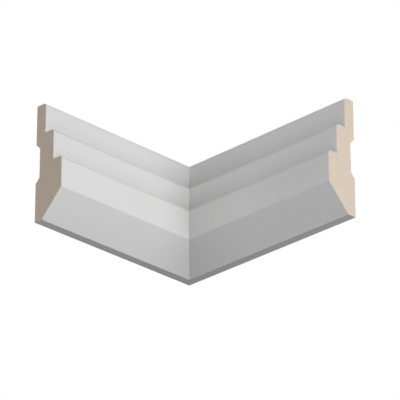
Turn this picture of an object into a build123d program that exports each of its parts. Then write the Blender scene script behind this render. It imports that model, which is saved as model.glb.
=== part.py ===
"""Inside corner of a stepped cornice moulding, in white-faced fibreboard.

Two lengths milled to one section are cut at 45 degrees and meet face to face in the
corner of a room. Millimetres, +Z up. The origin is the foot of the corner line where
the two walls meet. The right length runs along +X with its back on the wall at y = 0,
and the left length runs along -Y with its back on the wall at x = 0.
"""

from build123d import *

import os
from math import radians, tan

# Lengths, each measured along the wall from the corner to the square cut end
left_run = 125.7
right_run = 135.7

# Thickness, from the top edge out to the full board
lip_thickness = 7.5
upper_step = 7.25
lower_step = 7.25

# Heights of the three upright bands, from the top down
top_band = 19.5
middle_band = 19.6
lower_band = 19.8

# Splay under the lower band, which leaves a flat underside as wide as the nose
nose_thickness = 5.9
splay_angle = 45.0

# Rounding of the three crests, and the sanded arrises at the foot and head of the splay
crest_radius = 2.0
arris_radius = 0.2

# Relief channel along the back, which lets the board sit flat on an uneven wall
lower_land = 24.7
channel_floor = 18.8
channel_depth = 3.15
channel_side_angle = 45.0

# Heights and thicknesses that follow from the sizes above
middle_thickness = lip_thickness + upper_step
board_thickness = middle_thickness + lower_step
splay_top = (board_thickness - nose_thickness) * tan(radians(splay_angle))
lower_ledge = splay_top + lower_band
upper_ledge = lower_ledge + middle_band
moulding_height = upper_ledge + top_band
channel_side = channel_depth / tan(radians(channel_side_angle))
channel_mouth = channel_floor + 2 * channel_side

# Corners of the section: x is the distance out from the wall, y the height
nose = (nose_thickness, 0)
splay_head = (board_thickness, splay_top)
lower_crest = (board_thickness, lower_ledge)
lower_root = (middle_thickness, lower_ledge)
middle_crest = (middle_thickness, upper_ledge)
upper_root = (lip_thickness, upper_ledge)
top_crest = (lip_thickness, moulding_height)
top_back = (0, moulding_height)
foot_back = (0, 0)
front_outline = [
    foot_back,
    nose,
    splay_head,
    lower_crest,
    lower_root,
    middle_crest,
    upper_root,
    top_crest,
    top_back,
]

# Section that both lengths share: the milled front, then the channel out of the back
with BuildSketch() as section:
    with BuildLine():
        Polyline(*front_outline, close=True)
    make_face()
    crests = [section.vertices().sort_by_distance(point)[0] for point in (top_crest, middle_crest, lower_crest)]
    fillet(crests, radius=crest_radius)
    arrises = [section.vertices().sort_by_distance(point)[0] for point in (nose, splay_head)]
    fillet(arrises, radius=arris_radius)
    with BuildLine():
        Polyline(
            (0, lower_land),
            (channel_depth, lower_land + channel_side),
            (channel_depth, lower_land + channel_side + channel_floor),
            (0, lower_land + channel_mouth),
            close=True,
        )
    make_face(mode=Mode.SUBTRACT)

# Walls that carry the lengths: each plane's x leaves its wall, and its y points up
right_wall_section = Plane(origin=(0, 0, 0), x_dir=(0, -1, 0), z_dir=(-1, 0, 0))
left_wall_section = Plane(origin=(0, 0, 0), x_dir=(1, 0, 0), z_dir=(0, -1, 0))

# Mitre plane, upright along the line that halves the corner, with the right length on top
mitre = Plane(origin=(0, 0, 0), z_dir=(1, 1, 0))

# Left length
with BuildPart() as left_length:
    with BuildSketch(left_wall_section):
        add(section.sketch)
    extrude(amount=left_run)
    split(bisect_by=mitre, keep=Keep.BOTTOM)
left_length.part.label = "left_length"

# Right length
with BuildPart() as right_length:
    with BuildSketch(right_wall_section):
        add(section.sketch)
    extrude(amount=-right_run)
    split(bisect_by=mitre, keep=Keep.TOP)
right_length.part.label = "right_length"

os.makedirs("parts", exist_ok=True)
export_step(left_length.part, "parts/left_length.step")
export_step(right_length.part, "parts/right_length.step")
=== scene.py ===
"""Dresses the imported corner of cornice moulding: raw fibreboard, a white primer film and a plain studio.

Lengths are in metres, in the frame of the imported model: +Z up, with the origin at the foot of
the corner line where the two walls meet. Three wall coordinates serve both lengths of moulding:
out is the distance from the wall, along is the distance from the corner, and up is the height.
"""

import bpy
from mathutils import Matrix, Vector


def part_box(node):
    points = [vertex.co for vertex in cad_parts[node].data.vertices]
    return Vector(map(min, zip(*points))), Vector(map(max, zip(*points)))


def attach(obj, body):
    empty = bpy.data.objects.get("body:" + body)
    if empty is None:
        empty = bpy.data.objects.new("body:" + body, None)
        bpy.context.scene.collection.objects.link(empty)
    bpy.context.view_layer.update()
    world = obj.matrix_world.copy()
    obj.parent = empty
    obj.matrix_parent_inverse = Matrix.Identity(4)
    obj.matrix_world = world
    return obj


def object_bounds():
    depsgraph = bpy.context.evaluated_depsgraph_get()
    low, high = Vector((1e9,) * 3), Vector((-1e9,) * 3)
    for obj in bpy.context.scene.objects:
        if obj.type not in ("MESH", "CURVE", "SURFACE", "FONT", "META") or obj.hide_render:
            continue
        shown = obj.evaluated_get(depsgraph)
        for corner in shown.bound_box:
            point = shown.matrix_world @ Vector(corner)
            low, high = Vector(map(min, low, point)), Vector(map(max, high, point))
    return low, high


bl_info = {
    "name": "Cornice Corner",
    "version": (1, 0, 0),
    "blender": (4, 5, 0),
    "location": "View3D > Sidebar > Cornice",
    "description": "Finishes a mitred corner of stepped cornice moulding and sets up its studio",
    "category": "Object",
}

import math

import bmesh
import bpy
from bpy.props import FloatProperty, FloatVectorProperty, IntProperty, PointerProperty
from mathutils import Vector

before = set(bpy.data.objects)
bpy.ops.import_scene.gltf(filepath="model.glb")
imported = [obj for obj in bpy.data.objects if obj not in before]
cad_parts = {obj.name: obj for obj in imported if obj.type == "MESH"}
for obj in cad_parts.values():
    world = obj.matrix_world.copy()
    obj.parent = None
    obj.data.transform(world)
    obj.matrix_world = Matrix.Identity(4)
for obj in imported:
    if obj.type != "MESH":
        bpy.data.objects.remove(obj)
cad_low, cad_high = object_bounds()

MM = 0.001
BODY = "root"

# Each length of moulding: its node, its film's name, and the directions in which out and along grow
LENGTHS = (
    ("left_length", "left_primer_film", (1, 0, 0), (0, -1, 0)),
    ("right_length", "right_primer_film", (0, -1, 0), (1, 0, 0)),
)

# Noise runs from 0 to 1, about this middle
NOISE_MIDDLE = 0.5

# Mottle and relief of the primer, with noise scales in cycles for each metre
MOTTLE_SCALE = 60.0
MOTTLE_DETAIL = 3.0
MOTTLE_TINT = 0.012
MOTTLE_SHEEN = 0.15
SPRAY_SCALE = 1400.0
SPRAY_RELIEF = 0.004 * MM
RIPPLE_SCALE = 350.0
RIPPLE_RELIEF = 0.01 * MM
PRIMER_SPECULAR = 0.35

# Fibres, clumps of fibres and wide clouds of tone in the raw board
FIBRE_SCALE = 1800.0
FIBRE_ROUGHNESS = 0.6
FIBRE_RELIEF = 0.03 * MM
CLUMP_SCALE = 230.0
CLUMP_TINT = 0.02
CLUMP_SHEEN = 0.1
CLOUD_SCALE = 45.0
CLOUD_TINT = 0.02
BOARD_ROUGHNESS = 0.9
BOARD_SPECULAR = 0.25

# Streaks that a sanding belt leaves along the run, long that way and fine across it
STREAK_SCALE_ALONG = 35.0
STREAK_SCALE_UP = 900.0
STREAK_TINT = 0.05
STREAK_RELIEF = 0.01 * MM

# Ribs of the cutter in the relief channel, whose surface is rougher and a little darker
RIB_TINT = 0.012
RIB_RELIEF = 0.008 * MM
MILLED_SHADE = 0.05

# A face this square to the run is a sawn end, and a point this far from the wall is in the channel
SAWN_FACING = 0.5
CHANNEL_START = 0.05 * MM

# Points of the film nearer than this become one
WELD_DISTANCE = 0.001 * MM

# Camera: the sensor that its lens is given for, and the nearest and farthest things it shows
SENSOR_WIDTH = 36.0
CLIP_NEAR = 0.1
CLIP_FAR = 50.0

# Surroundings, and the grey of the floor under the glow that brings it to white
WHITE = (1, 1, 1, 1)
FLOOR_GREY = (0.5, 0.5, 0.5, 1)


class CorniceSection(bpy.types.PropertyGroup):
    """Sizes of the milled section. The board's thickness, its height and the runs come from the frame."""

    lip_thickness: FloatProperty(
        name="Lip thickness", description="Thickness of the top edge", default=7.5 * MM, unit="LENGTH"
    )
    upper_step: FloatProperty(
        name="Upper step",
        description="How far the middle band stands out past the lip",
        default=7.25 * MM,
        unit="LENGTH",
    )
    nose_thickness: FloatProperty(
        name="Nose thickness", description="Width of the flat underside", default=5.9 * MM, unit="LENGTH"
    )
    splay_angle: FloatProperty(
        name="Splay angle",
        description="Slope of the splay above the level",
        default=math.radians(45),
        unit="ROTATION",
    )
    top_band: FloatProperty(
        name="Top band", description="Height of the top band", default=19.5 * MM, unit="LENGTH"
    )
    middle_band: FloatProperty(
        name="Middle band", description="Height of the middle band", default=19.6 * MM, unit="LENGTH"
    )
    crest_radius: FloatProperty(
        name="Crest radius", description="Rounding of the three crests", default=2 * MM, unit="LENGTH"
    )
    arris_radius: FloatProperty(
        name="Arris radius",
        description="Rounding at the foot and head of the splay",
        default=0.2 * MM,
        unit="LENGTH",
    )


class CornicePrimer(bpy.types.PropertyGroup):
    """The white primer film on the front, the top and the underside."""

    thickness: FloatProperty(
        name="Film thickness",
        description="Depth of primer over the board",
        default=0.05 * MM,
        unit="LENGTH",
    )
    arc_steps: IntProperty(
        name="Arc steps", description="Points added along each rounded corner", default=12, min=2
    )
    crease_angle: FloatProperty(
        name="Crease angle",
        description="Edges sharper than this stay crisp",
        default=math.radians(25),
        unit="ROTATION",
    )
    colour: FloatVectorProperty(
        name="Primer colour",
        description="Colour of the cured primer",
        subtype="COLOR",
        default=(0.80, 0.80, 0.797),
    )
    roughness: FloatProperty(
        name="Primer roughness",
        description="Sheen of the primer, from 0, glossy, to 1, dull",
        default=0.6,
        min=0,
        max=1,
    )


class CorniceBoard(bpy.types.PropertyGroup):
    """The raw fibreboard of the cut ends, the back and the relief channel."""

    colour: FloatVectorProperty(
        name="Board colour",
        description="Colour of a fresh cut through the board",
        subtype="COLOR",
        default=(0.648, 0.549, 0.452),
    )
    speckle: FloatProperty(
        name="Speckle", description="Contrast of the fibres on a cut", default=0.75, min=0, max=1
    )
    knife_pitch: FloatProperty(
        name="Knife pitch",
        description="Spacing of the cutter marks in the relief channel",
        default=1.6 * MM,
        unit="LENGTH",
    )


class CorniceStudio(bpy.types.PropertyGroup):
    """Camera, lamps and floor."""

    azimuth: FloatProperty(
        name="Azimuth",
        description="Camera direction round the object",
        default=math.radians(45),
        unit="ROTATION",
    )
    elevation: FloatProperty(
        name="Elevation",
        description="Camera height angle, negative where it looks up from below",
        default=math.radians(-25.54),
        unit="ROTATION",
    )
    distance: FloatProperty(
        name="Distance", description="Camera to the point it looks at", default=2.0027, unit="LENGTH"
    )
    aim: FloatVectorProperty(
        name="Aim",
        description="The point the camera looks at",
        subtype="XYZ",
        unit="LENGTH",
        default=(0.00993, -0.00078, 0.05334),
    )
    lens: FloatProperty(
        name="Lens", description="Focal length in millimetres on a 36 mm sensor", default=297.44
    )
    floor_drop: FloatProperty(
        name="Floor drop",
        description="How far the floor lies below the underside",
        default=1.0,
        unit="LENGTH",
    )
    floor_side: FloatProperty(
        name="Floor side", description="Width of the square floor", default=16.0, unit="LENGTH"
    )
    floor_bounce: FloatProperty(
        name="Floor bounce",
        description="Share of its light that the floor sends back up",
        default=0.01,
        min=0,
        max=1,
    )
    floor_glow: FloatProperty(
        name="Floor glow",
        description="Light added where the floor is seen, so that it reads as white",
        default=0.89,
        min=0,
    )
    sky_level: FloatProperty(
        name="Sky level", description="Even light from all round", default=0.065, min=0
    )
    key_level: FloatProperty(
        name="Key level", description="Brightness of white facing the key lamp", default=0.66, min=0
    )
    rim_level: FloatProperty(
        name="Rim level", description="Brightness of white facing the rim lamp", default=0.19, min=0
    )
    front_level: FloatProperty(
        name="Front level", description="Brightness of white facing the front lamp", default=0.22, min=0
    )
    side_level: FloatProperty(
        name="Side level", description="Brightness of white facing the side lamp", default=0.12, min=0
    )
    fill_level: FloatProperty(
        name="Fill level", description="Brightness of white facing the fill lamp", default=0.095, min=0
    )
    low_level: FloatProperty(
        name="Low level", description="Brightness of white facing the low lamp", default=0.17, min=0
    )
    kick_level: FloatProperty(
        name="Kick level", description="Brightness of white facing the kick lamp", default=0.075, min=0
    )
    high_level: FloatProperty(
        name="High level", description="Brightness of white facing the high lamp", default=0.07, min=0
    )
    back_level: FloatProperty(
        name="Back level", description="Brightness of white facing the back lamp", default=0.85, min=0
    )


# Each lamp: its level's setting, azimuth and elevation in degrees, distance and width in metres
LAMPS = (
    ("key_level", 90, 0, 0.8, 0.4),
    ("rim_level", 115, 0, 0.55, 0.4),
    ("front_level", -10, 5, 1.4, 0.8),
    ("side_level", -60, 0, 1.4, 0.8),
    ("fill_level", -35, -30, 1.4, 0.8),
    ("low_level", 45, -50, 1.08, 0.4),
    ("kick_level", 110, -45, 1.08, 0.4),
    ("high_level", 0, 25, 1.4, 0.8),
    ("back_level", 225, 25, 1.4, 0.8),
)


class Wire:
    """The output of a node. Python's operators on it add the Math nodes that they stand for."""

    def __init__(self, net, socket):
        self.net = net
        self.socket = socket

    def __add__(self, other):
        return self.net.math("ADD", self, other)

    def __radd__(self, other):
        return self.net.math("ADD", other, self)

    def __sub__(self, other):
        return self.net.math("SUBTRACT", self, other)

    def __rsub__(self, other):
        return self.net.math("SUBTRACT", other, self)

    def __mul__(self, other):
        return self.net.math("MULTIPLY", self, other)

    def __rmul__(self, other):
        return self.net.math("MULTIPLY", other, self)

    def __gt__(self, other):
        return self.net.math("GREATER_THAN", self, other)

    def __lt__(self, other):
        return self.net.math("LESS_THAN", self, other)


class Net:
    """A node tree that starts empty, with one method that adds any node to it."""

    def __init__(self, tree):
        self.tree = tree
        tree.nodes.clear()

    def add(self, kind, settings=None, sockets=None, out=0):
        """Add a node, apply its settings, fill its sockets with values or wires, give back one output."""
        node = self.tree.nodes.new(kind)
        for name, value in (settings or {}).items():
            setattr(node, name, value)
        for key, value in (sockets or {}).items():
            for wire in value if isinstance(value, list) else [value]:
                self.fill(find_socket(node.inputs, key), wire)
        if not node.outputs:
            return None
        return Wire(self, find_socket(node.outputs, out))

    def math(self, operation, *values):
        """Add a Math node on wires and numbers."""
        return self.add("ShaderNodeMath", {"operation": operation}, dict(enumerate(values)))

    def fill(self, socket, value):
        """Link a wire to a socket, or set the socket to a value."""
        if isinstance(value, Wire):
            self.tree.links.new(value.socket, socket)
        else:
            socket.default_value = value


def find_socket(sockets, key):
    """The socket at a number, or the enabled one with that name."""
    if isinstance(key, int):
        return sockets[key]
    return next(socket for socket in sockets if socket.name == key and socket.enabled)


def split_vector(net, vector):
    """The X, Y and Z of a vector."""
    return [net.add("ShaderNodeSeparateXYZ", sockets={0: vector}, out=letter) for letter in "XYZ"]


def vector_math(net, operation, sockets):
    """A Vector Math node on wires and values."""
    return net.add("ShaderNodeVectorMath", {"operation": operation}, sockets)


def new_material(name):
    """A material with nodes, and the empty tree to build them in."""
    material = bpy.data.materials.new(name)
    material.use_nodes = True
    return material, Net(material.node_tree)


def wall_coordinates(net):
    """Out, along and up at the shaded point, and how squarely the surface there faces along its run."""
    x, y, up = split_vector(net, net.add("ShaderNodeTexCoord", out="Object"))
    normal_x, normal_y, _ = split_vector(net, net.add("ShaderNodeNewGeometry", out="Normal"))
    on_left = x + y < 0
    facing = (1 - on_left) * normal_x - on_left * normal_y
    return net.math("MINIMUM", x, 0 - y), net.math("MAXIMUM", x, 0 - y), up, facing


def noise(net, vector, scale, detail=2.0, roughness=0.5):
    """Smooth random values about 0. The scale is in cycles for each unit of the vector."""
    sockets = {"Vector": vector, "Scale": scale, "Detail": detail, "Roughness": roughness}
    return net.add("ShaderNodeTexNoise", {"noise_dimensions": "3D"}, sockets) - NOISE_MIDDLE


def tint(net, colour, factor):
    """A colour multiplied by a factor that varies."""
    grey = net.add("ShaderNodeCombineXYZ", sockets={0: factor, 1: factor, 2: factor})
    return vector_math(net, "MULTIPLY", {0: grey, 1: (*colour,)})


def bump(net, height):
    """A normal from a height in metres."""
    sockets = {"Strength": 1.0, "Distance": 1.0, "Height": height}
    return net.add("ShaderNodeBump", sockets=sockets, out="Normal")


def close_shader(net, colour, roughness, normal, specular):
    """Principled shader to the material output."""
    sockets = {
        "Base Color": colour,
        "Roughness": roughness,
        "Normal": normal,
        "Specular IOR Level": specular,
    }
    surface = net.add("ShaderNodeBsdfPrincipled", sockets=sockets)
    net.add("ShaderNodeOutputMaterial", sockets={"Surface": surface})


def primer_material(primer):
    """White primer, sprayed and rubbed down: nearly even, with a faint mottle over a fine surface."""
    material, net = new_material("white_primer")
    place = net.add("ShaderNodeTexCoord", out="Object")
    mottle = noise(net, place, MOTTLE_SCALE, detail=MOTTLE_DETAIL)
    spray = noise(net, place, SPRAY_SCALE)
    ripple = noise(net, place, RIPPLE_SCALE)
    colour = tint(net, primer.colour, 1 + mottle * MOTTLE_TINT)
    height = spray * SPRAY_RELIEF + ripple * RIPPLE_RELIEF
    close_shader(net, colour, primer.roughness + mottle * MOTTLE_SHEEN, bump(net, height), PRIMER_SPECULAR)
    return material


def board_material(board):
    """Raw fibreboard: speckled where it is sawn, streaked by sanding on the back, ribbed in the channel."""
    material, net = new_material("raw_fibreboard")
    place = net.add("ShaderNodeTexCoord", out="Object")
    out, along, up, facing = wall_coordinates(net)
    sawn = facing > SAWN_FACING
    milled = (out > CHANNEL_START) * (1 - sawn)

    # Fibres at three sizes, the streaks on the back and the ribs in the channel
    fibres = noise(net, place, FIBRE_SCALE, roughness=FIBRE_ROUGHNESS)
    clumps = noise(net, place, CLUMP_SCALE)
    clouds = noise(net, place, CLOUD_SCALE)
    belt_sockets = {0: along * STREAK_SCALE_ALONG, 1: up * STREAK_SCALE_UP}
    belt = net.add("ShaderNodeCombineXYZ", sockets=belt_sockets)
    streaks = noise(net, belt, 1.0) * (1 - sawn) * (1 - milled)
    ribs = net.math("SINE", along * (math.tau / board.knife_pitch)) * milled

    speckle = fibres * board.speckle + clumps * CLUMP_TINT + clouds * CLOUD_TINT
    marks = streaks * STREAK_TINT + ribs * RIB_TINT - milled * MILLED_SHADE
    colour = tint(net, board.colour, 1 + speckle + marks)
    height = fibres * FIBRE_RELIEF * (1 + milled) + streaks * STREAK_RELIEF + ribs * RIB_RELIEF
    close_shader(net, colour, BOARD_ROUGHNESS + clumps * CLUMP_SHEEN, bump(net, height), BOARD_SPECULAR)
    return material


def section_corners(section, thickness, height):
    """The front of the section from the foot to the top, as (out, up, rounding) corners."""
    middle = section.lip_thickness + section.upper_step
    splay_top = (thickness - section.nose_thickness) * math.tan(section.splay_angle)
    upper_ledge = height - section.top_band
    lower_ledge = upper_ledge - section.middle_band
    crest = section.crest_radius
    arris = section.arris_radius
    return (
        (0, 0, 0),
        (section.nose_thickness, 0, arris),
        (thickness, splay_top, arris),
        (thickness, lower_ledge, crest),
        (middle, lower_ledge, 0),
        (middle, upper_ledge, crest),
        (section.lip_thickness, upper_ledge, 0),
        (section.lip_thickness, height, crest),
        (0, height, 0),
    )


def outer_corners(corners, depth):
    """The same corners on the outside of a film of that depth, with their roundings grown to match."""
    points = [Vector(corner[:2]) for corner in corners]
    walls = [(end - start).normalized() for start, end in zip(points, points[1:])]
    normals = [Vector((wall.y, -wall.x)) for wall in walls]
    before = [normals[0], *normals]
    after = [*normals, normals[-1]]
    moved = []
    for point, first, second, corner in zip(points, before, after, corners):
        place = point + depth * (first + second) / (1 + first.dot(second))
        rounding = corner[2] + depth if corner[2] else 0
        moved.append((place.x, place.y, rounding))
    return moved


def film_outline(section, primer, thickness, height, material):
    """A closed loop of edges round the film's own section, with the rounding kept on each point."""
    inner = section_corners(section, thickness, height)
    loop = [*outer_corners(inner, primer.thickness), *reversed(inner)]
    mesh = bpy.data.meshes.new("film_outline")
    count = len(loop)
    edges = [(index, (index + 1) % count) for index in range(count)]
    mesh.from_pydata([(out, up, 0) for out, up, _ in loop], edges, [])
    rounding = mesh.attributes.new("rounding", "FLOAT", "POINT")
    rounding.data.foreach_set("value", [corner[2] for corner in loop])
    mesh.materials.append(material)
    return mesh


def film_tree(material):
    """Geometry nodes that turn a film outline into a length of film, mitred at the corner."""
    tree = bpy.data.node_groups.new("primer_film", "GeometryNodeTree")
    kinds = {
        "Geometry": "Geometry",
        "Run": "Float",
        "Out direction": "Vector",
        "Along direction": "Vector",
        "Arc steps": "Int",
        "Crease angle": "Float",
    }
    for name, kind in kinds.items():
        tree.interface.new_socket(name=name, in_out="INPUT", socket_type="NodeSocket" + kind)
    tree.interface.new_socket(name="Geometry", in_out="OUTPUT", socket_type="NodeSocketGeometry")
    net = Net(tree)
    given = tree.nodes.new("NodeGroupInput")

    def value(name):
        return Wire(net, given.outputs[name])

    # Round the corners of the outline and fill it
    outline = net.add("GeometryNodeMeshToCurve", sockets={"Mesh": value("Geometry")})
    rounding = net.add(
        "GeometryNodeInputNamedAttribute", {"data_type": "FLOAT"}, {"Name": "rounding"}, out="Attribute"
    )
    rounded = net.add(
        "GeometryNodeFilletCurve",
        {"mode": "POLY"},
        {"Curve": outline, "Radius": rounding, "Count": value("Arc steps"), "Limit Radius": True},
    )
    face_of_film = net.add("GeometryNodeFillCurve", {"mode": "NGONS"}, {"Curve": rounded})

    # Draw the face out by one unit, which the next step stretches to the run, and close its near end
    drawn = net.add(
        "GeometryNodeExtrudeMesh",
        {"mode": "FACES"},
        {"Mesh": face_of_film, "Offset": (0, 0, 1), "Offset Scale": 1.0, "Individual": False},
    )
    near_end = net.add("GeometryNodeFlipFaces", sockets={"Mesh": face_of_film})
    joined = net.add("GeometryNodeJoinGeometry", sockets={"Geometry": [drawn, near_end]})
    solid = net.add("GeometryNodeMergeByDistance", sockets={"Geometry": joined, "Distance": WELD_DISTANCE})

    # Each point starts its run as far along as it stands out, which cuts the mitre
    out, up, share = split_vector(net, net.add("GeometryNodeInputPosition"))
    along = out + share * (value("Run") - out)
    outward = vector_math(net, "SCALE", {0: value("Out direction"), "Scale": out})
    onward = vector_math(net, "SCALE", {0: value("Along direction"), "Scale": along})
    upward = net.add("ShaderNodeCombineXYZ", sockets={2: up})
    level = vector_math(net, "ADD", {0: outward, 1: onward})
    moved_place = vector_math(net, "ADD", {0: level, 1: upward})
    film = net.add("GeometryNodeSetPosition", sockets={"Geometry": solid, "Position": moved_place})

    # Shade the rounded corners smooth and keep the crisp ones crisp
    smooth = net.add("GeometryNodeSetShadeSmooth", {"domain": "FACE"}, {0: film, "Shade Smooth": True})
    angle = net.add("GeometryNodeInputMeshEdgeAngle", out="Unsigned Angle")
    creased = net.add(
        "GeometryNodeSetShadeSmooth",
        {"domain": "EDGE"},
        {0: smooth, "Selection": angle > value("Crease angle"), "Shade Smooth": False},
    )
    real = net.add("GeometryNodeRealizeInstances", sockets={"Geometry": creased})
    painted = net.add("GeometryNodeSetMaterial", sockets={"Geometry": real, "Material": material})
    net.add("NodeGroupOutput", sockets={"Geometry": painted})
    return tree


def set_inputs(modifier, values):
    """Set a Geometry Nodes modifier's inputs by their names in the tree."""
    for item in modifier.node_group.interface.items_tree:
        if item.item_type == "SOCKET" and item.in_out == "INPUT" and item.name in values:
            modifier[item.identifier] = values[item.name]


def plain_mesh(host, name):
    """The host's evaluated shape as a mesh of its own, with every face turned outwards."""
    view = bpy.context.evaluated_depsgraph_get()
    mesh = bpy.data.meshes.new_from_object(host.evaluated_get(view))
    mesh.name = name
    work = bmesh.new()
    work.from_mesh(mesh)
    bmesh.ops.recalc_face_normals(work, faces=work.faces)
    work.to_mesh(mesh)
    work.free()
    return mesh


class CORNICE_OT_raw_board(bpy.types.Operator):
    """Give both lengths the look of raw fibreboard"""

    bl_idname = "cornice.raw_board"
    bl_label = "Raw Board"

    def execute(self, context):
        material = board_material(context.scene.cornice_board)
        for node, *_ in LENGTHS:
            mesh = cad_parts[node].data
            mesh.materials.clear()
            mesh.materials.append(material)
        return {"FINISHED"}


class CORNICE_OT_primer_film(bpy.types.Operator):
    """Build the white primer film over the front, the top and the underside of both lengths"""

    bl_idname = "cornice.primer_film"
    bl_label = "Primer Film"

    def execute(self, context):
        section = context.scene.cornice_section
        primer = context.scene.cornice_primer
        material = primer_material(primer)
        tree = film_tree(material)
        for node, name, out_direction, along_direction in LENGTHS:
            low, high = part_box(node)
            size = high - low
            thickness = abs(size.dot(Vector(out_direction)))
            run = abs(size.dot(Vector(along_direction)))
            outline = film_outline(section, primer, thickness, size.z, material)
            film = bpy.data.objects.new(name, outline)
            context.scene.collection.objects.link(film)
            modifier = film.modifiers.new("primer_film", "NODES")
            modifier.node_group = tree
            inputs = {
                "Run": run,
                "Out direction": out_direction,
                "Along direction": along_direction,
                "Arc steps": primer.arc_steps,
                "Crease angle": primer.crease_angle,
            }
            set_inputs(modifier, inputs)
            mesh = plain_mesh(film, name)
            film.modifiers.clear()
            film.data = mesh
            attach(film, BODY)
        return {"FINISHED"}


def direction(azimuth, elevation):
    """Unit vector from the object towards a viewer; azimuth 0 is along -Y and 90 degrees along +X."""
    level = math.cos(elevation)
    return Vector((math.sin(azimuth) * level, -math.cos(azimuth) * level, math.sin(elevation)))


def look_from(thing, place, target):
    """Put a camera or lamp at a place and turn it towards a target."""
    thing.location = place
    thing.rotation_mode = "QUATERNION"
    thing.rotation_quaternion = (place - target).to_track_quat("Z", "Y")


def make_camera(studio):
    """Camera at the photograph's angle, made the scene's own."""
    camera = bpy.data.objects.new("camera", bpy.data.cameras.new("camera"))
    camera.data.sensor_width = SENSOR_WIDTH
    camera.data.lens = studio.lens
    camera.data.clip_start = CLIP_NEAR
    camera.data.clip_end = CLIP_FAR
    target = Vector(studio.aim)
    look_from(camera, target + direction(studio.azimuth, studio.elevation) * studio.distance, target)
    bpy.context.scene.collection.objects.link(camera)
    bpy.context.scene.camera = camera


def make_lamp(name, level, azimuth, elevation, distance, width):
    """Square lamp turned to the object's middle, where white that faces it gets its level of brightness."""
    lamp = bpy.data.lights.new(name, "AREA")
    lamp.size = width
    lamp.energy = level * (math.pi * distance) ** 2
    holder = bpy.data.objects.new(name, lamp)
    holder.visible_camera = False
    middle = (cad_low + cad_high) / 2
    towards = direction(math.radians(azimuth), math.radians(elevation))
    look_from(holder, middle + towards * distance, middle)
    bpy.context.scene.collection.objects.link(holder)


def seen_ray(net):
    """1 for rays that show the surroundings: those of the camera, of gloss and of glass."""
    camera = net.add("ShaderNodeLightPath", out="Is Camera Ray")
    gloss = net.add("ShaderNodeLightPath", out="Is Glossy Ray")
    glass = net.add("ShaderNodeLightPath", out="Is Transmission Ray")
    return net.math("MAXIMUM", net.math("MAXIMUM", camera, gloss), glass)


def make_world(studio):
    """Even light all round, which looks plain white wherever it is seen."""
    world = bpy.data.worlds.new("studio")
    world.use_nodes = True
    net = Net(world.node_tree)
    light = net.add("ShaderNodeBackground", sockets={"Color": WHITE, "Strength": studio.sky_level})
    seen = net.add("ShaderNodeBackground", sockets={"Color": WHITE, "Strength": 1.0})
    both = net.add("ShaderNodeMixShader", sockets={0: seen_ray(net), 1: light, 2: seen})
    net.add("ShaderNodeOutputWorld", sockets={"Surface": both})
    bpy.context.scene.world = world


def make_floor(studio):
    """Pale floor, so far below that the camera looks up past it. It glows where seen, and keeps shadows."""
    half = studio.floor_side / 2
    height = -studio.floor_drop
    mesh = bpy.data.meshes.new("floor")
    corners = [(-half, -half, height), (half, -half, height), (half, half, height), (-half, half, height)]
    mesh.from_pydata(corners, [], [(0, 1, 2, 3)])
    material, net = new_material("pale_floor")
    dull = net.add("ShaderNodeBsdfDiffuse", sockets={"Color": (*[studio.floor_bounce] * 3, 1)})
    pale = net.add("ShaderNodeBsdfDiffuse", sockets={"Color": FLOOR_GREY})
    glow = net.add("ShaderNodeEmission", sockets={"Color": WHITE, "Strength": studio.floor_glow})
    lit = net.add("ShaderNodeAddShader", sockets={0: pale, 1: glow})
    both = net.add("ShaderNodeMixShader", sockets={0: seen_ray(net), 1: dull, 2: lit})
    net.add("ShaderNodeOutputMaterial", sockets={"Surface": both})
    mesh.materials.append(material)
    floor = bpy.data.objects.new("floor", mesh)
    bpy.context.scene.collection.objects.link(floor)


class CORNICE_OT_studio(bpy.types.Operator):
    """Set up the camera, the lamps, the white surroundings and the floor"""

    bl_idname = "cornice.studio"
    bl_label = "Studio"

    def execute(self, context):
        studio = context.scene.cornice_studio
        make_camera(studio)
        make_world(studio)
        make_floor(studio)
        for setting, *placing in LAMPS:
            make_lamp(setting.replace("level", "lamp"), getattr(studio, setting), *placing)
        context.scene.view_settings.view_transform = "Standard"
        return {"FINISHED"}


class CORNICE_PT_sidebar(bpy.types.Panel):
    """The sizes, the finishes and the steps that build them"""

    bl_label = "Cornice Corner"
    bl_space_type = "VIEW_3D"
    bl_region_type = "UI"
    bl_category = "Cornice"

    def draw(self, context):
        for group in GROUPS:
            box = self.layout.box()
            settings = getattr(context.scene, group)
            for name in settings.bl_rna.properties.keys():
                if name not in ("rna_type", "name"):
                    box.prop(settings, name)
        for operator in STEPS:
            self.layout.operator(operator)


GROUPS = {
    "cornice_section": CorniceSection,
    "cornice_primer": CornicePrimer,
    "cornice_board": CorniceBoard,
    "cornice_studio": CorniceStudio,
}
STEPS = ("cornice.raw_board", "cornice.primer_film", "cornice.studio")
CLASSES = (
    *GROUPS.values(),
    CORNICE_OT_raw_board,
    CORNICE_OT_primer_film,
    CORNICE_OT_studio,
    CORNICE_PT_sidebar,
)


def register():
    for cls in CLASSES:
        bpy.utils.register_class(cls)
    for name, group in GROUPS.items():
        setattr(bpy.types.Scene, name, PointerProperty(type=group))


def unregister():
    for name in GROUPS:
        delattr(bpy.types.Scene, name)
    for cls in reversed(CLASSES):
        bpy.utils.unregister_class(cls)


def main():
    register()
    bpy.ops.cornice.raw_board()
    bpy.ops.cornice.primer_film()
    bpy.ops.cornice.studio()


if __name__ == "__main__":
    main()
